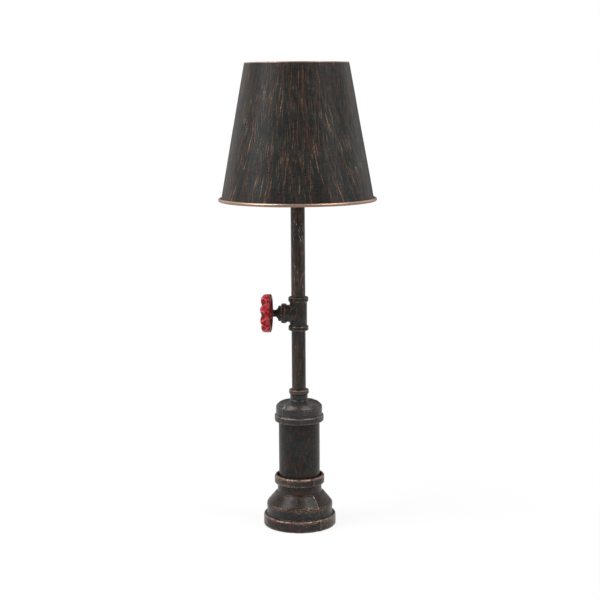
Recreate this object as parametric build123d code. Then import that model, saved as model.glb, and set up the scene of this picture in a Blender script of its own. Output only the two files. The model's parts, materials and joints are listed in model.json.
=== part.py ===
from build123d import *
import os
from math import atan2, cos, radians, sin, sqrt, tan

os.makedirs("parts", exist_ok=True)

# Industrial pipe table lamp. Millimetres, +Z up, origin in the middle of the foot
# on the table. The tee's branch and the handwheel point along -X, and the cord
# leaves through the gland at the back, along +Y. The handwheel, its shaft, washer
# and screw turn about the branch's axis; everything else stands still.

# ---- Clearances --------------------------------------------------------------
thread_gap = 0.05  # radial, between a male and a female thread, and at a slip fit
shaft_gap = 0.06  # radial, between the switch shaft and its bearing
weld_gap = 0.03  # between the shade's wall and the spider's spot-welded tabs
drill_past = 1.0  # how far a drilled hole runs on past what it has to clear

# ---- Hexagons ----------------------------------------------------------------
hexagon_chamfer = 35.0  # slope of the chamfer on their corners
flat_up = Rot(0, 0, 30)  # turns a hexagon in the branch so that a flat faces up

# ---- Half inch pipe of the stem ----------------------------------------------
riser_r = 10.65
riser_bore_r = 7.9
lower_riser_length = 116.0
upper_riser_length = 180.5
riser_engagement = 12.0  # how deep the lower riser screws into the bell reducer
tee_engagement = 12.5
cap_engagement = 11.0

# ---- Two inch pipe of the column ---------------------------------------------
column_r = 31.35
column_wall = 2.6
column_length = 121.2
column_foot_engagement = 18.6  # how deep the column stands in the foot casting
column_head_engagement = 18.2  # how deep it enters the bell reducer

# ---- Foot casting: a reducing coupling on its wide end ------------------------
rim_lift = 0.4  # the felt holds the casting's rim this far off the table
band_r = 55.5
band_height = 16.6
band_step = 1.2
wall_r = 50.1
wall_height = 12.3
wall_swell = 4.9  # the part of it that swells out to the bulge
bulge_r = 50.65
bulge_height = 3.8
slope_r = 37.4  # where the straight slope ends below the neck
slope_height = 16.0
flare_height = 2.4
foot_neck_r = 33.8
foot_neck_height = 10.5
foot_collar_r = 38.3
foot_collar_step = 3.0
foot_collar_height = 12.4
foot_mouth_r = 34.2
foot_mouth_depth = 8.0
foot_wall = 4.6
seam_height = 0.55  # how far a parting seam stands proud
seam_arc = 2.8  # its width, in degrees about the casting's axis
foot_seam_angle = -52.4

# ---- Base plate, ballast and felt --------------------------------------------
felt_r = 46.0
felt_thickness = 2.0
plate_r = 47.6
plate_thickness = 2.0
plate_ledge = 2.5  # width of the ring in the casting that the plate seats on
lug_count = 3
lug_r = 5.0
lug_height = 12.0
lug_inset = 4.3  # from the cavity's wall in to the lug's axis
ballast_r = 33.0
ballast_height = 20.0
screw_r = 2.0
screw_head_r = 3.9
plate_screw_length = 12.0

# ---- Cord gland in the back of the foot band ---------------------------------
cord_bore_r = 3.4
gland_r = 4.6
gland_flange_r = 6.2
gland_flange_thickness = 2.5
gland_length = 17.0
gland_nut_flats = 11.5
gland_nut_thickness = 3.0
gland_lift = 0.6  # from the plate up to the flange's lowest point
spot_face_margin = 0.7
spot_face_depth = 1.2

# ---- Terminal block, earth tag and wires -------------------------------------
block_width = 24.0
block_depth = 14.0
block_height = 12.0
block_y = 19.0
pole_pitch = 7.0
pole_hole_r = 1.3
pole_height = 4.0
pole_screw_r = 1.5
pole_screw_sink = 1.0
block_screw_r = 1.25
wire_r = 1.1
wire_insert = 3.0
wire_spacing = 0.5
bend_share = 0.45  # of the shorter run beside it that a wire's bend takes up
earth_y = -18.0
earth_tag_r = 4.5
earth_tag_thickness = 0.8

# ---- Bell reducer ------------------------------------------------------------
bell_bead_r = 37.6
bell_bead_height = 9.2
bell_step = 1.2
bell_r = 35.35
bell_height = 12.6
shoulder_r = 29.8
shoulder_height = 5.3
crown_height = 4.0
crown_wall = 5.0
bell_neck_r = 13.4
bell_neck_height = 9.0
bell_collar_r = 15.1
bell_collar_height = 7.2
bell_seam_angle = 229.1
bell_collar_step = 1.2

# ---- Tee ---------------------------------------------------------------------
tee_half_length = 25.6
tee_body_r = 13.1
tee_bead_r = 15.15
tee_bead_width = 6.4
tee_bead_slope = 1.7
tee_wall = 3.8
branch_reach = 25.8
branch_body_r = 13.1

# ---- Plug and rotary switch in the branch ------------------------------------
plug_flats = 22.0
plug_head = 4.8
plug_thread_r = 10.4
plug_thread_length = 10.0
switch_can_r = 7.3
switch_can_length = 12.0
switch_neck_r = 5.6
switch_neck_length = 11.5
switch_nut_flats = 14.0
switch_nut_thickness = 2.2
rotor_r = 5.2
rotor_thickness = 2.0
rotor_play = 0.25
rotor_depth = 4.0  # from the can's front face to the rotor's chamber
tag_width = 3.0
tag_length = 4.0
tag_thickness = 0.8
tag_pitch = 7.0

# ---- Shaft and handwheel -----------------------------------------------------
shaft_r = 3.0
shaft_flat = 0.75
wheel_gap = 0.5  # from the switch neck's end to the wheel's boss
wheel_r = 29.1
rim_back_r = 23.5  # inner radius of the rim's open back
rim_front_r = 18.8  # inner radius of its front
rim_width = 14.8
rim_lip = 3.8  # depth of the nearly straight inner wall at the front
rim_draft = 0.6  # how much that wall opens towards the front
rim_set = 3.2  # from the boss's inner end out to the rim's back
boss_r = 6.2
hub_r = 8.0
hub_length = 11.4
spoke_count = 4
spoke_root_r = 5.2  # where a spoke starts, inside the hub
spoke_root_width = 8.0
spoke_tip_width = 6.4
spoke_root_thickness = 5.0
spoke_tip_thickness = 4.2
flute_count = 8
flute_r = 9.0
flute_depth = 6.9  # below the corner that the rim's side and front would make
flute_edge_r = 1.4  # rounding where a flute meets the rim
web_fillet_r = 1.5  # rounding where a spoke meets the rim and the hub
wheel_screw_r = 1.5
wheel_screw_length = 9.0
wheel_screw_head_r = 2.8
wheel_screw_head_height = 2.0
washer_r = 4.6
washer_thickness = 0.8

# ---- Riser cap and lampholder inside the shade --------------------------------
cap_r = 13.3
cap_bead_r = 15.0
cap_bead_width = 6.0
cap_bead_slope = 1.0
cap_chamber = 3.2
cap_roof = 4.0
nipple_r = 5.0
nipple_bore_r = 3.75
nipple_entry = 6.0  # how far it enters the lampholder
nipple_nut_flats = 13.0
nipple_nut_thickness = 2.6
holder_r = 19.6
holder_wall = 1.7
holder_entry_r = 7.6
holder_entry_height = 7.0
holder_dome_height = 7.5
holder_skirt_height = 8.5
holder_body_height = 38.0
holder_lip = 2.0
insert_ledge = 1.4
insert_height = 12.0
insert_hole_spacing = 16.0
contact_r = 4.0
contact_height = 2.8
contact_thickness = 0.5
shell_r = 14.2
shell_thickness = 0.5
shell_height = 22.0
shell_flange = 2.0

# ---- Bulb --------------------------------------------------------------------
bulb_cap_r = 13.2
bulb_cap_height = 25.0  # from the tip up to the cap's rim
bulb_cap_wall = 0.5
bulb_tip_r = 4.6
bulb_tip_bevel = 1.2
bulb_insulator_r = 6.4  # its radius at the bottom, beside the tip
bulb_cap_mouth_r = 9.2  # the hole in the cap's foot that it fills
bulb_insulator_height = 3.5
bulb_r = 30.0
bulb_neck_r = 12.4
bulb_neck_length = 14.0
bulb_neck_bend = 15.0
bulb_flank_drop = 44.0  # from the bulb's top down to the corner of its flank
bulb_flank_bend = 28.0
bulb_crown_bend = 29.4  # a little under bulb_r, which would be a half sphere
bulb_height = 106.0
glass_wall = 0.8
stem_r = 5.0
stem_height = 34.0
filament_r = 0.9
filament_length = 32.0
filament_count = 4

# ---- Shade and the spider that carries it -------------------------------------
shade_top_r = 77.4
shade_bottom_r = 114.3
shade_height = 201.4
shade_thickness = 0.7
bead_r = 2.5
shade_drop = 64.6  # from the spider down to the middle of the bottom bead
ring_r = 26.5
ring_height = 5.0
ring_grips = 12
spider_ring_r = 25.0
spider_thickness = 2.0
spider_arms = 3
arm_width = 8.0
spider_tab_height = 12.0
spider_tab_thickness = 1.2
holder_ring_height = 13.9  # from the holder body's foot up to the spider


# ---- Heights that follow from the sizes above, from the table up ---------------
plate_z = felt_thickness
plate_top = plate_z + plate_thickness
band_top = rim_lift + band_height
wall_z = band_top + band_step
wall_top = wall_z + wall_height
slope_z = wall_top + bulge_height
flare_z = slope_z + slope_height
foot_neck_z = flare_z + flare_height
foot_collar_z = foot_neck_z + foot_neck_height + foot_collar_step
foot_top = foot_collar_z + foot_collar_height
column_z = foot_top - column_foot_engagement
column_top = column_z + column_length
column_bore_r = column_r - column_wall
ballast_top = plate_top + ballast_height

bell_z = column_top - column_head_engagement
bell_bead_top = bell_z + bell_bead_height
bell_body_z = bell_bead_top + bell_step
shoulder_z = bell_body_z + bell_height
shoulder_top = shoulder_z + shoulder_height
crown_top = shoulder_top + crown_height
bell_collar_z = crown_top + bell_neck_height
bell_top = bell_collar_z + bell_collar_height

riser_z = bell_top - riser_engagement
riser_top = riser_z + lower_riser_length
tee_z = riser_top - tee_engagement + tee_half_length
upper_riser_z = tee_z + tee_half_length - tee_engagement
upper_riser_top = upper_riser_z + upper_riser_length
cap_z = upper_riser_top - cap_engagement
cap_roof_z = upper_riser_top + cap_chamber
cap_top = cap_roof_z + cap_roof

holder_dome_z = cap_top + holder_entry_height
holder_skirt_z = holder_dome_z + holder_dome_height
holder_body_z = holder_skirt_z + holder_skirt_height
holder_top = holder_body_z + holder_body_height
insert_top = holder_body_z + insert_height - holder_skirt_height / 2
insert_z = insert_top - insert_height
bulb_z = insert_top + contact_height
spider_z = holder_body_z + holder_ring_height
bead_z = spider_z - shade_drop
shade_top = bead_z + shade_height

# ---- Places along the branch, out from the stem's axis -------------------------
plug_end = branch_reach + plug_head
neck_end = branch_reach + switch_neck_length
can_end = branch_reach - switch_can_length
chamber_end = branch_reach - rotor_depth
rotor_start = chamber_end - rotor_play - rotor_thickness
boss_start = neck_end + wheel_gap
rim_back = boss_start + rim_set
rim_front = rim_back + rim_width
hub_end = boss_start + hub_length

branch = Pos(0, 0, tee_z) * Rot(0, -90, 0)
gland_z = plate_top + gland_flange_r + gland_lift
rear = Pos(0, 0, gland_z) * Rot(-90, 0, 0)


# ---- Helpers -------------------------------------------------------------------
def half_section(corners):
    """Closed outline of (radius, height, rounding) corners; two numbers make a sharp one."""
    points = [corner[:2] for corner in corners]
    roundings = [corner[2] if len(corner) == 3 else 0 for corner in corners]
    return FilletPolyline(*points, radius=roundings, close=True)


def turned(*corners):
    """Solid turned about Z from the corners of half its section."""
    return revolve(Plane.XZ * make_face(half_section(corners)), Axis.Z)


def rod(radius, low, high):
    """Plain cylinder about Z between two heights."""
    return extrude(Plane.XY.offset(low) * Circle(radius), high - low)


def tube(outer, inner, low, high):
    """Plain tube about Z between two heights."""
    return extrude(Plane.XY.offset(low) * (Circle(outer) - Circle(inner)), high - low)


def hexagon(flats, low, high, bore_r):
    """Hexagon nut or head about Z, with its corners chamfered at both ends and a bore."""
    corner_r = flats / sqrt(3)
    chamfer_drop = (corner_r - flats / 2) * tan(radians(hexagon_chamfer))
    outline = RegularPolygon(flats / 2, 6, major_radius=False)
    prism = extrude(Plane.XY.offset(low) * outline, high - low)
    crowned = turned(
        (0, low),
        (flats / 2, low),
        (corner_r, low + chamfer_drop),
        (corner_r, high - chamfer_drop),
        (flats / 2, high),
        (0, high),
    )
    return (prism & crowned) - rod(bore_r, low, high)


def countersunk_screw(low, length):
    """Screw about Z that points up, its flat head at the bottom."""
    return turned(
        (0, low),
        (screw_head_r, low),
        (screw_r, low + screw_head_r - screw_r),
        (screw_r, low + length),
        (0, low + length),
    )


def countersink(low, high):
    """Clearance for countersunk_screw from its head's face up to a height."""
    head_r = screw_head_r + thread_gap
    hole_r = screw_r + thread_gap
    seat_z = low + head_r - hole_r
    return turned((0, low), (head_r, low), (hole_r, seat_z), (hole_r, high), (0, high))


def parting_seam(outline, angle):
    """Two raised ridges that follow a casting's outer outline, opposite each other."""
    points = [corner[:2] for corner in outline]
    roundings = [corner[2] for corner in outline[1:-1]]
    strip = Plane.XZ * trace(FilletPolyline(*points, radius=roundings), 2 * seam_height)
    ridge = revolve(strip, Axis.Z, seam_arc)
    return Rot(0, 0, angle) * ridge + Rot(0, 0, angle + 180) * ridge


def bend_radii(points):
    """Radius of each bend of a wire: as large as its two runs leave room for."""
    radii = []
    for before, here, after in zip(points, points[1:], points[2:]):
        run_in = Vector(*here) - Vector(*before)
        run_out = Vector(*after) - Vector(*here)
        half_turn = radians(run_in.get_angle(run_out)) / 2
        radii.append(bend_share * min(run_in.length, run_out.length) / tan(half_turn))
    return radii


def wire(*points):
    """Round insulated wire along straight runs joined by tangent arcs."""
    path = FilletPolyline(*points, radius=bend_radii(points))
    start = Plane(origin=path @ 0, z_dir=path % 0)
    return sweep(start * Circle(wire_r), path=path)


# ---- Foot casting --------------------------------------------------------------
slope_tilt = atan2(slope_height, bulge_r - slope_r)
slope_drop = foot_wall / cos(slope_tilt)
cavity_r = wall_r - foot_wall
lug_axis_r = cavity_r - lug_inset


def cavity_slope(radius):
    """Height of the casting's inner slope, one wall below the outer one."""
    return slope_z + (bulge_r - radius) * tan(slope_tilt) - slope_drop


foot_outline = [
    (band_r, rim_lift, 0.8),
    (band_r, band_top, 3.0),
    (wall_r, wall_z, 1.0),
    (wall_r, wall_top - wall_swell, 0.0),
    (bulge_r, wall_top, 0.8),
    (bulge_r, slope_z, 7.0),
    (slope_r, flare_z, 3.0),
    (foot_neck_r, foot_neck_z, 0.8),
    (foot_neck_r, foot_collar_z - foot_collar_step, 1.2),
    (foot_collar_r, foot_collar_z, 1.5),
    (foot_collar_r, foot_top, 3.2),
    (foot_mouth_r, foot_top, 0.8),
]
foot_inside = [
    (foot_mouth_r, foot_top - foot_mouth_depth),
    (column_r + thread_gap, foot_top - foot_mouth_depth),
    (column_r + thread_gap, column_z),
    (column_bore_r, column_z),
    (column_bore_r, cavity_slope(column_bore_r)),
    (cavity_r, cavity_slope(cavity_r), 3.0),
    (cavity_r, plate_top),
    (cavity_r + plate_ledge, plate_top),
    (cavity_r + plate_ledge, rim_lift),
]


def lug_places():
    """The casting's screw lugs; the gland's side of it stays clear."""
    return PolarLocations(lug_axis_r, lug_count, start_angle=-90)


def base_reducer():
    casting = turned(*foot_outline, *foot_inside)
    casting += parting_seam(foot_outline[:-1], foot_seam_angle)
    lug = rod(lug_r, plate_top, plate_top + lug_height)
    hole = rod(screw_r + thread_gap, plate_top, plate_z + plate_screw_length + drill_past)
    casting += [place * lug for place in lug_places()]
    casting -= [place * hole for place in lug_places()]
    spot_face = rod(gland_flange_r + spot_face_margin, band_r - spot_face_depth, band_r + drill_past)
    cord_hole = rod(gland_r + thread_gap, cavity_r - lug_inset, band_r)
    return casting - rear * (spot_face + cord_hole)


def base_plate():
    plate = rod(plate_r, plate_z, plate_top)
    hole = countersink(plate_z, plate_top)
    return plate - [place * hole for place in lug_places()] - hole


def plate_screws():
    screw = countersunk_screw(plate_z, plate_screw_length)
    return Compound([place * screw for place in lug_places()])


def base_weight():
    ballast = turned(
        (0, plate_top), (ballast_r, plate_top, 1.0), (ballast_r, ballast_top, 2.0), (0, ballast_top)
    )
    foot_hole = rod(screw_r + thread_gap, plate_top, plate_top + plate_screw_length)
    earth_hole = rod(screw_r + thread_gap, ballast_top - plate_screw_length, ballast_top)
    block_hole = rod(block_screw_r + thread_gap, ballast_top - block_height, ballast_top)
    return ballast - foot_hole - Pos(0, earth_y) * earth_hole - Pos(0, block_y) * block_hole


def weight_screw():
    return countersunk_screw(plate_z, plate_screw_length)


def felt_pad():
    return rod(felt_r, 0, felt_thickness)


# ---- Cord gland ----------------------------------------------------------------
gland_seat = band_r - spot_face_depth
gland_end = gland_seat + gland_flange_thickness
nut_seat = sqrt(cavity_r**2 - (gland_nut_flats / sqrt(3)) ** 2) - thread_gap


def cord_gland():
    bush = turned(
        (cord_bore_r, gland_end - gland_length),
        (gland_r, gland_end - gland_length),
        (gland_r, gland_seat),
        (gland_flange_r, gland_seat),
        (gland_flange_r, gland_end, 1.0),
        (cord_bore_r, gland_end, 0.8),
    )
    return rear * bush


def gland_nut():
    nut = hexagon(gland_nut_flats, nut_seat - gland_nut_thickness, nut_seat, gland_r + thread_gap)
    return rear * nut


# ---- Terminal block and earth tag ----------------------------------------------
block_inner_y = block_y - block_depth / 2
pole_z = ballast_top + pole_height
poles = [-pole_pitch, 0.0, pole_pitch]
screw_rows = [-block_depth / 4, block_depth / 4]
earth_tag_z = ballast_top + earth_tag_thickness


def terminal_screw_places():
    return [Pos(pole, block_y + row) for pole in poles for row in screw_rows]


def terminal_block():
    centre = Pos(0, block_y, ballast_top + block_height / 2)
    block = centre * Box(block_width, block_depth, block_height)
    block = fillet(block.edges().filter_by(Axis.Y).group_by(Axis.Z)[-1], 1.0)
    for pole in poles:
        passage = Rot(-90, 0, 0) * rod(pole_hole_r, block_y - block_depth, block_y + block_depth)
        block -= Pos(pole, 0, pole_z) * passage
    well = rod(pole_screw_r + thread_gap, pole_z, ballast_top + block_height)
    block -= [place * well for place in terminal_screw_places()]
    screw_hole = rod(block_screw_r + thread_gap, ballast_top, ballast_top + block_height)
    return block - Pos(0, block_y) * screw_hole


def terminal_screws():
    screw = rod(pole_screw_r, pole_z + pole_hole_r, ballast_top + block_height - pole_screw_sink)
    return Compound([place * screw for place in terminal_screw_places()])


def block_screw():
    shank = rod(block_screw_r, ballast_top - block_height / 2, ballast_top + block_height)
    head = turned(
        (0, ballast_top + block_height),
        (block_screw_r * 2, ballast_top + block_height),
        (block_screw_r * 2, ballast_top + block_height + block_screw_r, 0.6),
        (0, ballast_top + block_height + block_screw_r),
    )
    return Pos(0, block_y) * (shank + head)


def earth_tag():
    ring = tube(earth_tag_r, screw_r + thread_gap, ballast_top, earth_tag_z)
    barrel_y = earth_tag_r + wire_insert
    tongue = Pos(0, barrel_y / 2 + screw_r, ballast_top + earth_tag_thickness / 2) * Box(
        2 * wire_r, barrel_y - screw_r, earth_tag_thickness
    )
    return Pos(0, earth_y) * (ring + tongue)


def earth_screw():
    shank = rod(screw_r, ballast_top - plate_screw_length / 2, earth_tag_z)
    head_z = earth_tag_z
    head_r = screw_head_r
    head_top = head_z + screw_r
    head = turned((0, head_z), (head_r, head_z), (head_r, head_top, 1.0), (0, head_top))
    return Pos(0, earth_y) * (shank + head)


# ---- Wires ---------------------------------------------------------------------
lane = tag_pitch / 2  # how far the supply and switched wires run beside the axis
holder_lane = wire_r + wire_spacing  # and both holder wires inside the nipple
switch_tag_end = can_end - tag_length
insert_hole_x = insert_hole_spacing / 2
climb_z = column_z + 2 * wire_insert


def neutral_wire():
    return wire(
        (pole_pitch, block_inner_y + wire_insert, pole_z),
        (pole_pitch, 0, pole_z),
        (holder_lane, 0, climb_z),
        (holder_lane, 0, holder_dome_z),
        (insert_hole_x, 0, insert_z - 2 * wire_r),
        (insert_hole_x, 0, insert_z + wire_insert),
    )


def supply_wire():
    return wire(
        (-pole_pitch, block_inner_y + wire_insert, pole_z),
        (-pole_pitch, 0, pole_z),
        (-lane, lane, climb_z),
        (-lane, lane, tee_z),
        (-switch_tag_end, lane, tee_z),
    )


def switched_wire():
    return wire(
        (-switch_tag_end, -lane, tee_z),
        (-lane, -lane, tee_z),
        (-holder_lane, 0, upper_riser_top),
        (-holder_lane, 0, holder_dome_z),
        (-insert_hole_x, 0, insert_z - 2 * wire_r),
        (-insert_hole_x, 0, insert_z + wire_insert),
    )


def earth_wire():
    tag_end_y = earth_y + earth_tag_r + wire_insert
    return wire(
        (0, block_inner_y + wire_insert, pole_z),
        (0, 0, pole_z + wire_r),
        (0, tag_end_y + wire_insert, earth_tag_z + wire_r),
        (0, tag_end_y - wire_insert, earth_tag_z + wire_r),
    )


# ---- Column, bell reducer and risers ---------------------------------------------
bell_outline = [
    (bell_bead_r, bell_z, 1.8),
    (bell_bead_r, bell_bead_top, 1.6),
    (bell_r, bell_body_z, 0.8),
    (bell_r, shoulder_z, 3.5),
    (shoulder_r, shoulder_top, 5.0),
    (bell_neck_r, crown_top, 2.2),
    (bell_neck_r, bell_collar_z, 0.8),
    (bell_collar_r, bell_collar_z + bell_collar_step, 0.5),
    (bell_collar_r, bell_top, 1.0),
    (riser_r + thread_gap, bell_top),
]
bell_inside = [
    (riser_r + thread_gap, riser_z),
    (riser_bore_r, riser_z),
    (riser_bore_r, crown_top - crown_wall),
    (column_bore_r, shoulder_top - crown_wall, 3.0),
    (column_bore_r, column_top),
    (column_r + thread_gap, column_top),
    (column_r + thread_gap, bell_z),
]


def column_pipe():
    return tube(column_r, column_bore_r, column_z, column_top)


def bell_reducer():
    casting = turned(*bell_outline, *bell_inside)
    return casting + parting_seam(bell_outline[:-1], bell_seam_angle)


def lower_riser():
    return tube(riser_r, riser_bore_r, riser_z, riser_top)


def upper_riser():
    return tube(riser_r, riser_bore_r, upper_riser_z, upper_riser_top)


# ---- Tee -------------------------------------------------------------------------
def beaded_end(reach, body_r):
    """Outer outline of a tee's end from its middle out: body, slope and bead."""
    bead_start = reach - tee_bead_width
    return [
        (body_r, 0),
        (body_r, bead_start - tee_bead_slope, 0.8),
        (tee_bead_r, bead_start, 0.8),
        (tee_bead_r, reach, 1.2),
        (0, reach),
    ]


def tee():
    upper = turned((0, 0), *beaded_end(tee_half_length, tee_body_r))
    run = Pos(0, 0, tee_z) * (upper + Rot(180, 0, 0) * upper)
    side = branch * turned((0, 0), *beaded_end(branch_reach, branch_body_r))
    body = run + side
    body = fillet(new_edges(run, side, combined=body), 1.6)
    socket_r = riser_r + thread_gap
    cavity = tee_body_r - tee_wall
    body -= rod(cavity, tee_z - tee_half_length, tee_z + tee_half_length)
    body -= rod(socket_r, tee_z - tee_half_length, riser_top)
    body -= rod(socket_r, upper_riser_z, tee_z + tee_half_length)
    body -= branch * rod(cavity, 0, branch_reach)
    thread_start = branch_reach - plug_thread_length - drill_past
    body -= branch * rod(plug_thread_r + thread_gap, thread_start, branch_reach)
    return body


# ---- Plug and switch in the branch -----------------------------------------------
def switch_plug():
    head = hexagon(plug_flats, branch_reach, plug_end, switch_neck_r + thread_gap)
    sleeve_start = branch_reach - plug_thread_length
    sleeve = tube(plug_thread_r, switch_can_r + thread_gap, sleeve_start, branch_reach)
    return branch * (flat_up * head + sleeve)


def switch_body():
    can = turned(
        (0, can_end), (switch_can_r, can_end, 0.6), (switch_can_r, branch_reach), (0, branch_reach)
    )
    can += rod(switch_neck_r, branch_reach, neck_end)
    can -= rod(shaft_r + shaft_gap, chamber_end, neck_end)
    can -= rod(rotor_r + rotor_play, rotor_start - rotor_play, chamber_end)
    return branch * can


def switch_terminals():
    tags = []
    for side in (-lane, lane):
        tag = Pos(0, side, can_end - tag_length / 2) * Box(tag_thickness, tag_width, tag_length)
        tags.append(branch * Pos(wire_r + tag_thickness / 2) * tag)
    return Compound(tags)


def switch_nut():
    nut_end = plug_end + switch_nut_thickness
    nut = hexagon(switch_nut_flats, plug_end, nut_end, switch_neck_r + thread_gap)
    return branch * flat_up * nut


# ---- Shaft and handwheel -----------------------------------------------------------
wheel_screw_start = hub_end + washer_thickness - wheel_screw_length


def flat_sided(radius, flat, low, high):
    """Round bar about Z with one flat side."""
    flat_side = Pos(radius + (radius - flat), 0) * Rectangle(2 * radius, 2 * radius)
    return extrude(Plane.XY.offset(low) * (Circle(radius) - flat_side), high - low)


def switch_shaft():
    shaft = rod(shaft_r, rotor_start + rotor_thickness, boss_start)
    shaft += rod(rotor_r, rotor_start, rotor_start + rotor_thickness)
    shaft += flat_sided(shaft_r, shaft_flat, boss_start, hub_end - washer_thickness)
    shaft -= rod(wheel_screw_r + thread_gap, wheel_screw_start - drill_past, hub_end)
    return branch * shaft


def fluted_rim():
    """The wheel's rim, its outer front corner scooped out by evenly spaced flutes."""
    plain = turned(
        (rim_back_r, rim_back, 1.0),
        (wheel_r, rim_back, 2.2),
        (wheel_r, rim_front, 5.5),
        (rim_front_r + rim_draft, rim_front, 2.5),
        (rim_front_r, rim_front - rim_lip),
    )
    flute_offset = (flute_r - flute_depth) * sin(radians(45))
    flute = Pos(wheel_r + flute_offset, 0, rim_front + flute_offset) * Rot(0, -45, 0)
    cutter = flute * Cylinder(flute_r, 2 * wheel_r)
    cutters = [Rot(0, 0, turn * 360 / flute_count) * cutter for turn in range(flute_count)]
    rim = plain - cutters
    return fillet(new_edges(plain, *cutters, combined=rim), flute_edge_r)


def handwheel():
    rim = fluted_rim()
    hub = turned(
        (0, boss_start),
        (boss_r, boss_start, 0.6),
        (boss_r, boss_start + rim_set / 2, 1.5),
        (hub_r, rim_back, 1.5),
        (hub_r, hub_end, 1.5),
        (0, hub_end),
    )
    root_z = (rim_back + hub_end) / 2
    tip_z = rim_back + rim_width / 2
    root = Plane((spoke_root_r, 0, root_z), x_dir=(0, 1, 0), z_dir=(1, 0, 0))
    tip = Plane((rim_back_r, 0, tip_z), x_dir=(0, 1, 0), z_dir=(1, 0, 0))
    spoke = loft(
        [
            root * Ellipse(spoke_root_width / 2, spoke_root_thickness / 2),
            tip * Ellipse(spoke_tip_width / 2, spoke_tip_thickness / 2),
        ]
    )
    spokes = [Rot(0, 0, (turn + 0.5) * 360 / spoke_count) * spoke for turn in range(spoke_count)]
    wheel = rim + hub + spokes
    wheel = fillet(new_edges(rim, hub, *spokes, combined=wheel), web_fillet_r)
    wheel -= flat_sided(shaft_r + thread_gap, shaft_flat, boss_start, hub_end)
    return branch * wheel


def wheel_washer():
    return branch * tube(washer_r, wheel_screw_r + thread_gap, hub_end, hub_end + washer_thickness)


def wheel_screw():
    head_z = hub_end + washer_thickness
    head_top = head_z + wheel_screw_head_height
    head_r = wheel_screw_head_r
    head = turned((0, head_z), (head_r, head_z), (head_r, head_top, 0.8), (0, head_top))
    slot = Pos(0, 0, head_top) * Box(2 * head_r, washer_thickness, wheel_screw_head_height)
    return branch * (rod(wheel_screw_r, wheel_screw_start, head_z) + head - slot)


# ---- Riser cap, nipple and lampholder -----------------------------------------------
def riser_cap():
    return turned(
        (riser_r + thread_gap, cap_z),
        (cap_bead_r, cap_z, 1.0),
        (cap_bead_r, cap_z + cap_bead_width, 1.0),
        (cap_r, cap_z + cap_bead_width + cap_bead_slope, 0.8),
        (cap_r, cap_top, 2.0),
        (nipple_r + thread_gap, cap_top),
        (nipple_r + thread_gap, cap_roof_z),
        (riser_bore_r, cap_roof_z),
        (riser_bore_r, upper_riser_top),
        (riser_r + thread_gap, upper_riser_top),
    )


def nipple():
    return tube(nipple_r, nipple_bore_r, cap_roof_z - nipple_nut_thickness, cap_top + nipple_entry)


def nipple_nut():
    nut_z = cap_roof_z - nipple_nut_thickness
    return hexagon(nipple_nut_flats, nut_z, cap_roof_z, nipple_r + thread_gap)


def lampholder_cap():
    inner_r = holder_r - holder_wall
    return turned(
        (nipple_r + thread_gap, cap_top),
        (holder_entry_r, cap_top, 0.6),
        (holder_entry_r, holder_dome_z, 1.0),
        (holder_r, holder_skirt_z, 3.0),
        (holder_r, holder_body_z),
        (inner_r, holder_body_z),
        (inner_r, insert_z),
        (inner_r - insert_ledge, insert_z),
        (inner_r - insert_ledge, holder_skirt_z + holder_wall, 2.0),
        (nipple_r + thread_gap, holder_dome_z + holder_wall),
    )


def lampholder_body():
    inner_r = holder_r - holder_wall
    return turned(
        (inner_r, holder_body_z),
        (holder_r, holder_body_z),
        (holder_r, holder_top, 1.0),
        (inner_r - holder_lip, holder_top, 0.6),
        (inner_r - holder_lip, holder_top - 2 * holder_lip),
        (inner_r, holder_top - 2 * holder_lip),
    )


def lampholder_insert():
    disc_r = holder_r - holder_wall - thread_gap
    disc = turned((0, insert_z), (disc_r, insert_z, 0.8), (disc_r, insert_top, 0.8), (0, insert_top))
    hole = rod(wire_r + thread_gap, insert_z, insert_z + insert_height / 2)
    return disc - Pos(insert_hole_x) * hole - Pos(-insert_hole_x) * hole


def centre_contact():
    middle = Pos(0, 0, insert_top + contact_thickness / 2)
    blade = middle * Box(4 * contact_r, contact_r, contact_thickness)
    button = turned(
        (0, insert_top), (contact_r, insert_top), (contact_r / 2, bulb_z, 0.5), (0, bulb_z)
    )
    return blade + button


def thread_shell():
    inner_r = shell_r - shell_thickness
    foot_z = insert_top + contact_thickness + thread_gap
    return turned(
        (inner_r, insert_top),
        (shell_r + shell_flange, insert_top),
        (shell_r + shell_flange, foot_z),
        (shell_r, foot_z),
        (shell_r, insert_top + shell_height),
        (inner_r, insert_top + shell_height),
    )


# ---- Bulb ------------------------------------------------------------------------------
bulb_insulator_z = bulb_z + bulb_tip_bevel
bulb_cap_z = bulb_insulator_z + bulb_insulator_height
bulb_cap_top = bulb_z + bulb_cap_height
bulb_glass_z = bulb_cap_top - bulb_neck_length / 3


def envelope(shrink):
    """The bulb's pear shape, filled, one wall smaller for its inside."""
    radius = bulb_r - shrink
    neck = bulb_neck_r - shrink
    top = bulb_z + bulb_height - shrink
    return turned(
        (0, bulb_glass_z),
        (neck, bulb_glass_z),
        (neck, bulb_glass_z + bulb_neck_length, bulb_neck_bend),
        (radius, top - bulb_flank_drop, bulb_flank_bend),
        (radius, top, bulb_crown_bend - shrink),
        (0, top),
    )


def bulb_glass():
    return envelope(0) - envelope(glass_wall)


def bulb_cap():
    inner_r = bulb_cap_r - bulb_cap_wall
    return turned(
        (bulb_cap_mouth_r, bulb_cap_z),
        (bulb_cap_r, bulb_cap_z + bulb_insulator_height, 0.8),
        (bulb_cap_r, bulb_cap_top),
        (inner_r, bulb_cap_top),
        (inner_r, bulb_cap_z + bulb_insulator_height + bulb_cap_wall),
        (bulb_cap_mouth_r, bulb_cap_z + bulb_cap_wall),
    )


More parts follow.
